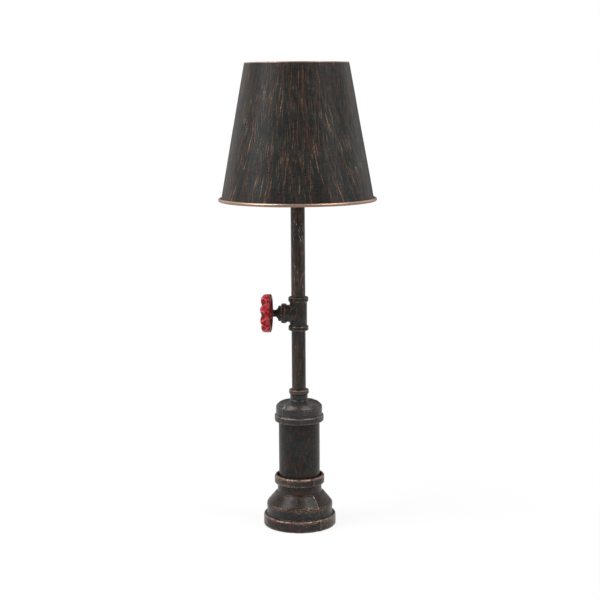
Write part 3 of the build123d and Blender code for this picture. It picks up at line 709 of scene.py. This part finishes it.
def relaxed(mesh, points, rounds):
    """The points, each moved halfway to the middle of its neighbours in every round."""
    pairs = np.empty(len(mesh.edges) * 2, dtype=np.int64)
    mesh.edges.foreach_get("vertices", pairs)
    first, second = pairs.reshape(-1, 2).T
    count = len(points)
    joined = np.bincount(first, minlength=count) + np.bincount(second, minlength=count)
    for _ in range(rounds):
        moved = np.empty_like(points)
        for axis in range(3):
            towards = np.bincount(first, points[second, axis], count)
            back = np.bincount(second, points[first, axis], count)
            moved[:, axis] = (towards + back) / joined
        points = 0.5 * points + 0.5 * moved
    return points


print("points of the column's part:", len(points_of(nodes["column_pipe"].data)))

# %% Edges, hollows and skin
def standing_proud(piece, rounds, full):
    """How far each point stands out from its neighbourhood, as a share of full."""
    mesh = piece.data
    points = points_of(mesh)
    return ((points - relaxed(mesh, points, rounds)) * normals_of(mesh)).sum(axis=1) / full


def mark(piece, name, amount):
    """Stores a value from 0 to 1 at each point, for the finish to read."""
    layer = piece.data.attributes.new(name, "FLOAT", "POINT")
    layer.data.foreach_set("value", np.clip(amount, 0, 1).astype(np.float32))


def skin(piece, depth, size, fine_depth, fine_size, seed):
    """Pushes every point in or out along its normal by two seeded noises."""
    mesh = piece.data
    points = points_of(mesh)
    shift = Vector((seed * 1.7, seed * 2.3, seed * 3.1))
    push = np.empty(len(points))
    for index, point in enumerate(points):
        here = Vector(point)
        coarse = noise.noise(here / size + shift)
        fine = noise.noise(here / fine_size + shift)
        push[index] = depth * coarse + fine_depth * fine
    set_points(mesh, points + normals_of(mesh) * push[:, None])
    print(piece.name, "skin moves by up to", round(float(np.abs(push).max()) / mm, 2), "mm")


def smooth_shaded(piece):
    piece.data.polygons.foreach_set("use_smooth", [True] * len(piece.data.polygons))


def stands_for(piece, node_name, finish, body="stand"):
    """Puts a finished piece in the place of a part, on the body that the part moves with."""
    paint(piece, finish)
    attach(piece, body)
    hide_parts(node_name)
    print(piece.name, "has", len(piece.data.polygons), "faces")


print("skin noise one size away from the origin:", round(noise.noise(Vector((0.6, 0.8, 0))), 2))


# %% Cast the fittings
soften_rounds = 2
edge_rounds = 5
edge_full = 0.13 * mm
broad_rounds = 60
broad_full = 0.45 * mm
wave_size = 11 * mm
sand_size = 1.7 * mm
sand_share = 0.4


def casting(node_name, name, finish, grain, wave, seed, body="stand", full=broad_full):
    """Stands a casting in a part's place. Its wall wanders by up to one wave in depth."""
    piece = even_copy(node_name, name, grain)
    mesh = piece.data
    set_points(mesh, relaxed(mesh, points_of(mesh), soften_rounds))
    broad = standing_proud(piece, broad_rounds, full)
    mark(piece, "edge", standing_proud(piece, edge_rounds, edge_full))
    mark(piece, "proud", broad)
    mark(piece, "hollow", -broad)
    skin(piece, wave, wave_size, wave * sand_share, sand_size, seed)
    smooth_shaded(piece)
    stands_for(piece, node_name, finish, body)


casting("base_reducer", "foot_casting", "bronzed_casting", grain=0.7 * mm, wave=0.22 * mm, seed=1)
casting("bell_reducer", "bell_casting", "bronzed_bell", grain=0.6 * mm, wave=0.16 * mm, seed=2)
casting("tee", "tee_casting", "bronzed_fitting", grain=0.45 * mm, wave=0.12 * mm, seed=3)
casting("riser_cap", "cap_casting", "bronzed_fitting", grain=0.5 * mm, wave=0.12 * mm, seed=4)
casting("switch_plug", "plug_casting", "black_neck", grain=0.4 * mm, wave=0.06 * mm, seed=5)
casting("switch_nut", "nut_forging", "black_neck", grain=0.35 * mm, wave=0.04 * mm, seed=6)
casting(
    "handwheel", "handwheel_casting", "red_enamel", grain=0.42 * mm, wave=0.10 * mm, seed=7,
    body="wheel", full=0.20 * mm,
)

# %% [markdown]
# ## Turned shapes
# Pipe, shade and bulb are round, so they are made by turning an outline. The outline
# is a closed loop of points, given as radius and height. It is repeated at many
# angles, and neighbouring loops are joined by squares. That keeps the squares even and
# lined up with the axis, which a soft highlight along a pipe needs.


# %% Turn a closed outline
def turned(name, outline, columns, shaped=None):
    """Turns a closed outline of (radius, height) points about Z.

    shaped(angle, radius, height) may give every point another radius and height.
    """
    angles = np.linspace(0, tau, columns, endpoint=False)
    radius, height = np.array(outline).T
    around, out = np.meshgrid(angles, radius, indexing="ij")
    up = np.broadcast_to(height, out.shape)
    if shaped:
        out, up = shaped(around, out, up)
    points = np.stack([out * np.cos(around), out * np.sin(around), up], axis=-1).reshape(-1, 3)
    rows = len(outline)
    faces = []
    for column in range(columns):
        here = column * rows
        beside = ((column + 1) % columns) * rows
        for row in range(rows):
            after = (row + 1) % rows
            faces.append((here + row, beside + row, beside + after, here + after))
    mesh = bpy.data.meshes.new(name)
    mesh.from_pydata(points.tolist(), [], faces)
    piece = link(bpy.data.objects.new(name, mesh))
    smooth_shaded(piece)
    return piece


def divided(points, step):
    """A path with extra points, so that no run is longer than the step."""
    path = []
    for start, end in zip(points, points[1:]):
        run = (end[0] - start[0], end[1] - start[1])
        count = max(1, round(np.hypot(*run) / step))
        for part in range(count):
            share = part / count
            path.append((start[0] + run[0] * share, start[1] + run[1] * share))
    return path + [points[-1]]


print("a 10 mm run in 2 mm steps:", len(divided([(0, 0), (0, 10 * mm)], 2 * mm)), "points")

# %% [markdown]
# ## The pipes
# Pipe comes from the mill a hair out of round, with a faint wave along its length. At
# this size nobody sees the error itself, only that the highlight down the side is not
# ruler straight. Each pipe is a tube with finely divided walls and a shallow skin. The
# bore is plain, because only the wires see it.


# %% Pipe
pipe_lip = 0.5 * mm
ring_step = 1.2 * mm
column_wall = 2.6 * mm
riser_wall = 2.75 * mm


def pipe(node_name, name, finish, pipe_wall, columns, seed):
    low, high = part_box(node_name)
    outer_r, bore_r = high.x, high.x - pipe_wall
    outside = [
        (outer_r - pipe_lip, low.z),
        (outer_r, low.z + pipe_lip),
        (outer_r, high.z - pipe_lip),
        (outer_r - pipe_lip, high.z),
    ]
    bore = [(bore_r, high.z), (bore_r, low.z)]
    piece = turned(name, divided(outside, ring_step) + bore, columns)
    skin(
        piece, depth=0.07 * mm, size=16 * mm,
        fine_depth=0.03 * mm, fine_size=2.2 * mm, seed=seed,
    )
    stands_for(piece, node_name, finish)


pipe("column_pipe", "column_tube", "bronzed_pipe", column_wall, columns=220, seed=11)
pipe("lower_riser", "lower_riser_tube", "riser_pipe", riser_wall, columns=96, seed=12)
pipe("upper_riser", "upper_riser_tube", "riser_painted_lit", riser_wall, columns=96, seed=13)

# %% [markdown]
# ## The shade
# The shade is one sheet of steel, rolled into a cone and lapped at the back, where a
# row of spot welds holds it. Its bottom edge is curled outward into a bead, which
# stiffens it and hides the sharp edge. A solid ring would look the same from the
# front, but a curl shows its slot from below. So the outline follows the sheet's
# middle line down the cone and round the curl, and is then thickened to both sides.


# %% The sheet's size
sheet = 0.7 * mm
curl_r = 2.15 * mm
curl_turn = radians(318)
shade_top_r = 77.4 * mm
shade_columns = 420
rubbed_rim = 1.2 * mm
bare_rim = 1.6 * mm


def thickened(path, thickness):
    """Closed outline of a sheet whose middle line is the path."""
    points = np.array(path)
    along = np.gradient(points, axis=0)
    along /= np.linalg.norm(along, axis=1)[:, None]
    side = np.stack([along[:, 1], -along[:, 0]], axis=1) * thickness / 2
    return np.vstack([points + side, (points - side)[::-1]]).tolist()


print("the curl takes", round(curl_r * curl_turn / mm, 1), "mm of sheet")

# %% [markdown]
# The lap is a strip at the back where the sheet lies double, so it stands proud by
# about half a millimetre. Each spot weld presses it down again in a small dimple. Both
# are worked out from a point's angle and height, and move only its radius.

# %% Lap and welds
lap_width = 7 * mm
lap_edge = 1.2 * mm
lap_rise = 0.45 * mm
lap_start = 6 * mm
lap_run_in = 4 * mm
weld_pitch = 22 * mm
weld_r = 2.2 * mm
weld_depth = 0.4 * mm


def lap_from(curl_z):
    """A shape for turned(): raises the lap above that height and dimples its welds."""

    def shaped(angle, radius, height):
        from_back = (angle - pi / 2) * radius
        inside_lap = np.clip((lap_width / 2 - np.abs(from_back)) / lap_edge, 0, 1)
        on_cone = np.clip((height - curl_z - lap_start) / lap_run_in, 0, 1)
        weld_z = (height / weld_pitch + 0.5) % 1.0 * weld_pitch - weld_pitch / 2
        weld = np.exp(-(from_back**2 + weld_z**2) / weld_r**2)
        raised = (inside_lap * lap_rise - weld * weld_depth) * on_cone
        return radius + raised, height

    return shaped


print("welds up the lap:", round((shade_high.z - shade_low.z) / weld_pitch))


# %% Shade
def shade_sheet():
    curl_z = shade_low.z + curl_r + sheet / 2
    centre_r = shade_r - curl_r - sheet / 2
    foot = (centre_r - curl_r, curl_z)
    top = (shade_top_r - sheet / 2, shade_high.z)
    cone = divided([top, foot], 2 * mm)
    turns = np.linspace(0, curl_turn, 26)[1:]
    curl = [(centre_r - curl_r * cos(turn), curl_z - curl_r * sin(turn)) for turn in turns]
    outline = thickened(cone + curl, sheet)
    piece = turned("shade_sheet", outline, shade_columns, lap_from(curl_z))

    x, y, z = points_of(piece.data).T
    mark(piece, "edge", (z - shade_high.z + rubbed_rim) / (1 * mm))
    bead = np.hypot(x, y) > foot[0] + 0.5 * mm
    rim = z > shade_high.z - bare_rim
    mark(piece, "bead", bead + rim * 0.5)
    skin(
        piece, depth=0.16 * mm, size=42 * mm,
        fine_depth=0.03 * mm, fine_size=6 * mm, seed=21,
    )
    stands_for(piece, "shade", "bronzed_sheet")


shade_sheet()

# %% [markdown]
# ## Threads
# A thread is a groove that climbs one pitch in every turn. On a turned piece that is a
# wave in the radius which shifts with the angle, so one small function cuts it, and
# fades it out at both ends as a real die does. The bulb's cap and the shell round it
# are thin rolled sheet, so there the wave moves both faces of the sheet together.


# %% Threads
def threaded(radius, pitch, depth, low, high, reach=0.1 * mm):
    """A shape for turned(): threads the walls that lie within reach of the radius."""

    def shaped(angle, out, up):
        wave = 0.5 + 0.5 * np.cos(tau * up / pitch - angle)
        fade = np.clip(np.minimum(up - low, high - up) / (pitch / 2), 0, 1)
        return out - depth * wave * fade * (np.abs(out - radius) < reach), up

    return shaped


sleeve_pitch = 2.5 * mm
bulb_pitch = 3.6 * mm
neck_pitch = 1.0 * mm
print("turns on a 20 mm bulb thread:", round(20 * mm / bulb_pitch, 1))

# %% [markdown]
# The lampholder's sleeve is brass tube with a coarse thread outside, which the shade's
# two rings screw onto. A lip at its top holds the ceramic insert. Inside it sits a
# rolled shell, and the bulb's cap screws into that shell.


# %% Lampholder sleeve
def lampholder_sleeve():
    low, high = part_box("lampholder_body")
    outer_r, corner = high.x, 0.8 * mm
    lip_r, bore_r, lip = outer_r - 3.7 * mm, outer_r - 1.7 * mm, 4 * mm
    wall = [(outer_r, low.z), (outer_r, high.z - corner), (outer_r - corner, high.z)]
    inside = [(lip_r, high.z), (lip_r, high.z - lip), (bore_r, high.z - lip), (bore_r, low.z)]
    plain_end = 2 * mm
    thread = threaded(outer_r, sleeve_pitch, 0.7 * mm, low.z + plain_end, high.z - plain_end)
    piece = turned("lampholder_sleeve", divided(wall, 0.3 * mm) + inside, 150, thread)
    stands_for(piece, "lampholder_body", "brass")


lampholder_sleeve()


# %% The bulb's cap and the shell round it
rolled = 0.5 * mm


def bulb_cap_sheet():
    low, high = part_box("bulb_cap")
    outer_r, tip_r, corner = high.x, 9.2 * mm, 0.3 * mm
    shoulder_z = low.z + 3.5 * mm
    outside = [(tip_r, low.z), (outer_r - corner, shoulder_z - corner)]
    outside += [(outer_r, shoulder_z), (outer_r, high.z)]
    inside = [(outer_r - rolled, high.z), (outer_r - rolled, shoulder_z), (tip_r, low.z + rolled)]
    thread_top = high.z - 5 * mm
    middle_r = outer_r - rolled / 2
    thread = threaded(middle_r, bulb_pitch, 0.5 * mm, shoulder_z, thread_top, 0.3 * mm)
    outline = divided(outside, 0.4 * mm) + divided(inside, 0.4 * mm)
    stands_for(turned("bulb_cap_sheet", outline, 120, thread), "bulb_cap", "nickel")


def holder_shell():
    low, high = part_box("thread_shell")
    flange_r, outer_r = high.x, high.x - 2 * mm
    outside = [(flange_r, low.z), (flange_r, low.z + rolled)]
    outside += [(outer_r, low.z + rolled), (outer_r, high.z)]
    inside = [(outer_r - rolled, high.z), (outer_r - rolled, low.z)]
    middle_r, plain_end = outer_r - rolled / 2, 1 * mm
    ends = (low.z + plain_end, high.z - plain_end)
    thread = threaded(middle_r, bulb_pitch, 0.4 * mm, *ends, 0.3 * mm)
    outline = divided(outside, 0.4 * mm) + divided(inside, 0.4 * mm)
    stands_for(turned("holder_shell", outline, 120, thread), "thread_shell", "brass")


bulb_cap_sheet()
holder_shell()

# %% [markdown]
# The dimmer is a plastic can with a threaded neck that passes through the hexagon plug.
# It is turned about Z like the rest, and then laid down so that its neck points away
# from the tee, along -X. Its bore lets the shaft through, and the rotor turns in the
# chamber behind it.


# %% Dimmer can
def dimmer_can():
    low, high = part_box("switch_body")
    can_r, neck_r, corner = high.y, 5.6 * mm, 0.6 * mm
    can_end, neck_end = -high.x, -low.x
    shoulder = -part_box("tee")[0].x
    middle_r = 0.4 * mm
    outside = [(middle_r, can_end), (can_r - corner, can_end), (can_r, can_end + corner)]
    outside += [(can_r, shoulder), (neck_r, shoulder)]
    neck = [(neck_r, shoulder), (neck_r, neck_end - 0.5 * mm), (neck_r - 0.5 * mm, neck_end)]
    bore_r, chamber_r = 3.06 * mm, 5.45 * mm
    chamber_end = shoulder - 4 * mm
    chamber_start = chamber_end - 2.5 * mm
    inside = [(bore_r, neck_end), (bore_r, chamber_end), (chamber_r, chamber_end)]
    inside += [(chamber_r, chamber_start), (middle_r, chamber_start)]
    thread = threaded(neck_r, neck_pitch, 0.45 * mm, shoulder, neck_end)
    outline = outside + divided(neck, 0.14 * mm)[1:] + inside
    piece = turned("dimmer_can", outline, 90, thread)
    x, y, z = points_of(piece.data).T
    set_points(piece.data, np.stack([-z, y, x + (low.z + high.z) / 2], axis=-1))
    stands_for(piece, "switch_body", "black_plastic")


dimmer_can()

# %% [markdown]
# ## Inside the bulb
# The bulb's neck is closed by a glass stem, drawn from a flared tube. Four filament
# rods stand round it. Each is a strip of tiny lamps in a lumpy coat of yellow phosphor,
# so a rod is turned with rounded ends and then given a shallow skin. Thin wires join
# their feet to the stem and their tops to one another.


# %% The bulb's stem
stem_height = 34 * mm
stem_r = 2.2 * mm
glass_wall = 0.8 * mm
flare_fall = 5.5


def bulb_stem_glass():
    """Turns the stem: a flare at the neck that narrows to a rod. Gives back its top."""
    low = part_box("bulb_stem")[0]
    flare_r = -low.x
    heights = np.linspace(0, 1, 30)
    flare = (flare_r - stem_r) * np.exp(-heights * flare_fall)
    radii = flare + stem_r + stem_r * (1 - heights**3)
    radii *= flare_r / radii[0]
    outside = [(radius, low.z + share * stem_height) for radius, share in zip(radii, heights)]
    inside = [
        (max(radius - glass_wall, 0.4 * mm), height - 0.2 * mm)
        for radius, height in outside[:0:-1]
    ]
    inside.append((flare_r - glass_wall, low.z))
    piece = turned("bulb_stem_glass", outside + inside, 72)
    stands_for(piece, "bulb_stem", "clear_glass")
    return low.z + stem_height


stem_top = bulb_stem_glass()

# %% Filament rods
filament_r = 0.9 * mm
filament_ring = 3.65 * mm
filament_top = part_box("bulb_stem")[1].z
filament_foot = stem_top - 2 * filament_r
filament_turns = np.arange(4) * pi / 2


def filament(turn, name):
    """One filament rod with rounded ends, standing on the ring at that angle."""
    ends = np.linspace(0, pi / 2, 7)
    foot = [
        (filament_r * sin(end), filament_foot + filament_r * (1 - cos(end))) for end in ends
    ]
    head = [(radius, filament_top + filament_foot - height) for radius, height in foot[::-1]]
    core_r, core_end = 0.02 * mm, 0.1 * mm
    core = [(core_r, filament_top - core_end), (core_r, filament_foot + core_end)]
    piece = turned(name, divided(foot[1:] + head[:-1], 0.6 * mm) + core, 24)
    skin(
        piece, depth=0.06 * mm, size=1.6 * mm,
        fine_depth=0.03 * mm, fine_size=0.7 * mm, seed=31 + turn,
    )
    shift = np.array([filament_ring * cos(turn), filament_ring * sin(turn), 0])
    set_points(piece.data, points_of(piece.data) + shift)
    paint(piece, "phosphor")
    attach(piece, "stand")


for number, turn in enumerate(filament_turns, start=1):
    filament(turn, f"filament_{number}")
print("rods from", round(filament_foot, 4), "to", round(filament_top, 4))


# %% Lead wires
def lead_runs():
    """The wires at the rods' feet and tops, and the one that holds the star up."""
    star_z = filament_top + 1.5 * mm
    runs = [[(0, 0, stem_top - 1 * mm), (0, 0, star_z)]]
    for turn in filament_turns:
        out = Vector((cos(turn), sin(turn), 0))
        foot = out * filament_ring + Vector((0, 0, filament_foot + 0.3 * mm))
        runs.append([foot, out * 2.4 * mm + Vector((0, 0, filament_foot - 1.5 * mm))])
        head = out * filament_ring + Vector((0, 0, filament_top - 0.4 * mm))
        bend = out * filament_ring * 0.85 + Vector((0, 0, filament_top + 0.9 * mm))
        runs.append([head, bend, Vector((0, 0, star_z))])
    return runs


def lead_wires():
    curve = bpy.data.curves.new("bulb_leads", "CURVE")
    curve.dimensions = "3D"
    curve.bevel_depth = 0.22 * mm
    for run in lead_runs():
        spline = curve.splines.new("POLY")
        spline.points.add(len(run) - 1)
        for point, place in zip(spline.points, run):
            point.co = (*place, 1.0)
    piece = link(bpy.data.objects.new("bulb_leads", curve))
    paint(piece, "nickel")
    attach(piece, "stand")
    print("lead wires:", len(curve.splines))


lead_wires()

# %% [markdown]
# ## The felt
# The felt pad is soft, so it gets a mesh of its own. Felt has no sharp edge, its rim is
# rounded and a little ragged, and its face is dimpled where it was glued. It rests on
# the table, so nothing of it may go below zero.


# %% Felt pad
off_table = 0.03 * mm


def felt_disc():
    piece = even_copy("felt_pad", "felt_disc", 0.8 * mm)
    mesh = piece.data
    set_points(mesh, relaxed(mesh, points_of(mesh), 3))
    skin(
        piece, depth=0.18 * mm, size=6 * mm,
        fine_depth=0.12 * mm, fine_size=0.9 * mm, seed=41,
    )
    points = points_of(mesh)
    points[:, 2] = np.maximum(points[:, 2], off_table)
    set_points(mesh, points)
    smooth_shaded(piece)
    stands_for(piece, "felt_pad", "felt")


felt_disc()

# %% [markdown]
# ## Light, floor and background
# A dark glossy object on white needs large soft lights. The world is white wherever
# the camera or the glass looks at it, and plain grey where it only lights the lamp. A
# reflection sees a white backdrop behind the lamp and a dark room in front, which
# keeps the black paint black down the middle and lights it up at the sides. Straight
# behind the lamp the backdrop has a dark gap, or every outline would end in a white
# line. Two large soft boxes at the sides draw the long highlights on the pipes and the
# shade, and two more high up catch the sloping tops of the castings. The floor glows
# towards the camera, which takes it to white, and a little less close to the lamp.


# %% World
world = bpy.data.worlds.new("studio")
world.use_nodes = True
bpy.context.scene.world = world
sky = Graph(world.node_tree)
fill_level = 0.37
dark_room = 0.05
gap_behind = 0.9
near_glow = 0.86


def ray(graph, kind):
    return graph.node("ShaderNodeLightPath", {}, {}, kind)


towards = sky.node("ShaderNodeTexCoord", {}, {}, "Generated")
backwards = sky.part(towards, "Y")
backdrop = sky.band(backwards, 0.0, 0.55) * (1.0 - dark_room) + dark_room
backdrop = backdrop * (1 - sky.band(backwards, 0.75, 0.97) * gap_behind)
seen = ray(sky, "Is Camera Ray") + ray(sky, "Is Transmission Ray")
mirrored = ray(sky, "Is Glossy Ray")
lighting = (1 - sky.clamped(seen + mirrored)) * fill_level
strength = lighting + mirrored * backdrop + seen
background = sky.node("ShaderNodeBackground", {}, {"Color": rgb(1, 1, 1), "Strength": strength})
sky.node("ShaderNodeOutputWorld", {}, {"Surface": background})
print("world nodes:", len(world.node_tree.nodes))


# %% Floor
def floor_finish():
    made = Finish("floor")
    direct = ray(made, "Is Camera Ray") + ray(made, "Is Transmission Ray")
    flat = made.vector("MULTIPLY", made.place(), (1.0, 1.0, 0.0))
    backwards = made.part(flat, "Y")
    in_mirrors = made.band(backwards, -0.6, -0.25) * (1.0 - dark_room) + dark_room
    in_mirrors = in_mirrors * (1 - made.band(backwards, 0.6, 2.0) * gap_behind)
    seen = made.clamped(direct + ray(made, "Is Glossy Ray") * in_mirrors)
    reach = made.node("ShaderNodeVectorMath", {"operation": "LENGTH"}, {0: flat}, "Value")
    glowing = made.band(reach, 0.15, 0.50) * (1.0 - near_glow) + near_glow
    paper = made.node("ShaderNodeBsdfDiffuse", {}, {"Color": rgb(0.88, 0.88, 0.88)})
    glow = made.node("ShaderNodeEmission", {}, {"Color": rgb(1, 1, 1), "Strength": 1.0})
    both = made.node("ShaderNodeMixShader", {}, {0: seen * glowing, 1: paper, 2: glow})
    made.node("ShaderNodeOutputMaterial", {}, {"Surface": both})


floor_finish()
floor_half = 6.0
floor_mesh = bpy.data.meshes.new("floor")
floor_corners = [(-floor_half, -floor_half, 0), (floor_half, -floor_half, 0)]
floor_corners += [(floor_half, floor_half, 0), (-floor_half, floor_half, 0)]
floor_mesh.from_pydata(floor_corners, [], [(0, 1, 2, 3)])
floor = link(bpy.data.objects.new("floor", floor_mesh))
paint(floor, "floor")
print("floor is", 2 * floor_half, "m wide")


# %% Soft boxes
lamp_middle = Vector((0, 0, 0.35))


def soft_box(name, place, width, watts):
    """A square area light that faces the middle of the lamp."""
    light = bpy.data.lights.new(name, "AREA")
    light.size = width
    light.energy = watts
    box = link(bpy.data.objects.new(name, light))
    facing = (lamp_middle - Vector(place)).to_track_quat("-Z", "Y").to_matrix().to_4x4()
    box.matrix_world = Matrix.Translation(place) @ facing
    print(name, "is", width, "m wide and gives", watts, "W")


soft_box("left_box", (-1.8, -0.9, 1.1), width=0.9, watts=11)
soft_box("right_box", (1.9, -0.8, 1.0), width=0.8, watts=7)
soft_box("high_left_box", (-1.0, -0.4, 2.0), width=1.0, watts=30)
soft_box("high_right_box", (1.0, -0.4, 2.0), width=0.9, watts=20)

# %% [markdown]
# ## Colours as written
# The Standard view shows a colour as its number says, without the soft roll-off of the
# default view.

# %% Picture settings
bpy.context.scene.view_settings.view_transform = "Standard"
